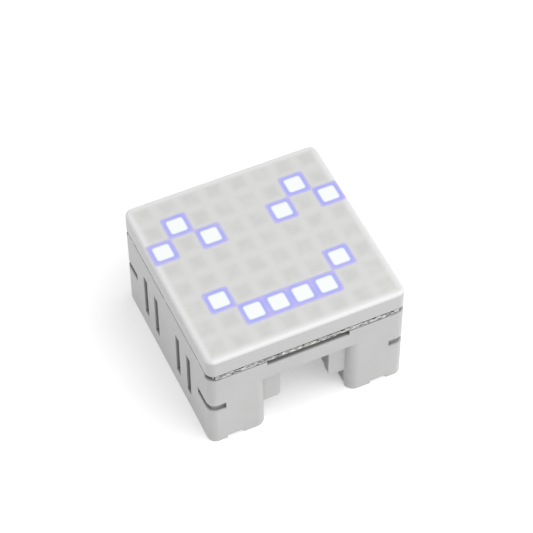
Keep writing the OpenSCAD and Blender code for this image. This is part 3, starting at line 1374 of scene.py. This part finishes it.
@dataclass
class BoardParts:
    """The small parts below the board, and the light grid above it."""

    sizes: UnitSizes
    chip_end: float = 0.5 * MM
    lead_t: float = 0.2 * MM
    tantalum_edges: EdgeBreak = EdgeBreak(0.12 * MM, 2)

    def dress(self, node: str, material: Material) -> None:
        """Gives a CAD node that stays its material.

        Args:
            node: The node.
            material: Its material.
        """
        target = frame["nodes"][node]
        target.data.materials.clear()
        target.data.materials.append(material)
        log.info("%s: dressed", node)

    def build(self) -> None:
        """Dresses the parts."""
        sizes, end = self.sizes, self.chip_end
        ceramic = Component("ceramic", (0.46, 0.33, 0.20), sizes, end).material()
        for row in range(sizes.cells):
            self.dress(f"capacitors_row_{row + 1}", ceramic)
        resistor = Component("resistor_black", (0.03, 0.03, 0.035), sizes, end)
        self.dress("signal_resistors", resistor.material())
        epoxy = LeadedPackage("chip_epoxy", (0.03, 0.03, 0.032), sizes, self.lead_t)
        self.dress("signal_buffer", epoxy.material())
        tantalum = Plastic("tantalum_yellow", (0.62, 0.36, 0.06), 0.4, 0.1 * MM).material()
        for side in ("in", "out"):
            node = f"bulk_capacitor_{side}"
            piece = rounded_copy(f"storage_capacitor_{side}", node, self.tantalum_edges)
            finished(piece, tantalum, "tantalum_case", node)
        white = Plastic("grid_white", (0.84, 0.84, 0.83), 0.5, 0.12 * MM)
        self.dress("light_grid", white.material())


# ---- Studio ----


@dataclass(frozen=True)
class Lamp:
    """One soft square lamp that points at the unit."""

    name: str
    power: float
    width: float
    place: Point

    def build(self) -> None:
        """Hangs the lamp."""
        data = bpy.data.lights.new(self.name, "AREA")
        data.energy = self.power
        data.shape = "SQUARE"
        data.size = self.width
        lamp = bpy.data.objects.new(self.name, data)
        bpy.context.scene.collection.objects.link(lamp)
        place = Vector(self.place)
        turned = (-place).to_track_quat("-Z", "Y").to_matrix().to_4x4()
        lamp.matrix_world = Matrix.Translation(place) @ turned


@dataclass
class Studio:
    """Floor, light and camera."""

    sizes: UnitSizes
    lens: float = 151.2
    sensor_w: float = 36.0
    clip: Pair = (0.01, 20.0)
    azimuth: float = 24.34
    elevation: float = 51.46
    roll: float = -0.47
    distance: float = 496.7 * MM
    aim_x: float = -1.22 * MM
    aim_y: float = -4.56 * MM
    floor_w: float = 6.0
    floor_tones: Pair = (0.72, 0.74)
    floor_cloud: float = 60 * MM
    sky: float = 0.34
    floor_glow: float = 0.36
    lamps: tuple[Lamp, ...] = (
        Lamp("key", 18.5, 1.5, (0.42, -0.38, 1.0)),
        Lamp("fill", 2.0, 0.8, (-0.85, 0.45, 0.50)),
    )

    def camera(self) -> None:
        """Sets the camera on its aim, in the middle of the view."""
        data = bpy.data.cameras.new("camera")
        data.lens = self.lens
        data.sensor_width = self.sensor_w
        data.clip_start, data.clip_end = self.clip
        camera = bpy.data.objects.new("camera", data)
        bpy.context.scene.collection.objects.link(camera)
        turn, rise = math.radians(self.azimuth), math.radians(self.elevation)
        back = Vector(
            (-math.sin(turn) * math.cos(rise), -math.cos(turn) * math.cos(rise), math.sin(rise))
        )
        aim = Vector((self.aim_x, self.aim_y, self.sizes.top))
        level = (-back).to_track_quat("-Z", "Y").to_matrix()
        rolled = level @ Matrix.Rotation(math.radians(self.roll), 3, "Z")
        camera.matrix_world = Matrix.Translation(aim + back * self.distance) @ rolled.to_4x4()
        bpy.context.scene.camera = camera

    def light(self) -> None:
        """Lights the scene with a dim even sky and the lamps."""
        scene = bpy.context.scene
        world = bpy.data.worlds.new("sky")
        world.use_nodes = True
        background = world.node_tree.nodes["Background"]
        background.inputs["Color"].default_value = WHITE + (1.0,)
        background.inputs["Strength"].default_value = self.sky
        scene.world = world
        scene.view_settings.view_transform = "Standard"
        for lamp in self.lamps:
            lamp.build()

    def floor(self) -> None:
        """Lays the pale floor."""
        half = self.floor_w / 2
        mesh = mesh_of(
            "floor",
            lambda work: bmesh.ops.create_grid(work, x_segments=1, y_segments=1, size=half),
        )
        floor = link("floor", mesh)
        shader = Shader("pale_floor")
        cloud = shader.noise(self.floor_cloud, 2)
        dark, light = ((tone, tone, tone) for tone in self.floor_tones)
        shader.set(
            Base_Color=shader.mix(cloud, dark, light),
            Roughness=0.9,
            Emission_Color=WHITE,
            Emission_Strength=self.floor_glow,
        )
        floor.data.materials.append(shader.material)
        floor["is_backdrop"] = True

    def build(self) -> None:
        """Builds the studio."""
        self.camera()
        self.light()
        self.floor()


def corners(box: tuple[Vector, Vector]) -> list[list[float]]:
    """A box as plain lists of numbers."""
    return [list(corner) for corner in box]


def main() -> None:
    """Builds the studio and each sub-assembly."""
    logging.basicConfig(level=logging.INFO, format="%(name)s: %(message)s")
    sizes = UnitSizes()
    grid = GridOfCopies()
    pins = Metal("tinned_pins", (0.80, 0.79, 0.76), 0.28)
    shells = Plastic("nylon", (0.80, 0.78, 0.70), 0.38, 0.12 * MM)
    Studio(sizes).build()
    DiffuserCap(sizes, Diffuser("milky_diffuser", sizes)).build()
    pale = HousingPlasticWithPaintedShade("pale_housing", (0.475, 0.475, 0.472), 0.42)
    CadCopy("housing", "base_housing", "housing_plastic", pale, EdgeBreak(0.2 * MM)).build()
    laminate = BoardLaminate("board_laminate", sizes)
    CadCopy("board", "led_board", "circuit_board", laminate, EdgeBreak(0.04 * MM, 1)).build()
    LedField(sizes, grid).build()
    CableSocket("in", 0.0, grid, shells, pins).build()
    CableSocket("out", math.pi, grid, shells, pins).build()
    CaseScrews(grid, Metal("zinc_steel", (0.62, 0.63, 0.66), 0.34)).build()
    BoardParts(sizes).build()
    {"cad": corners(CAD_BOX), "visual": corners(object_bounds())}


if __name__ == "__main__":
    main()
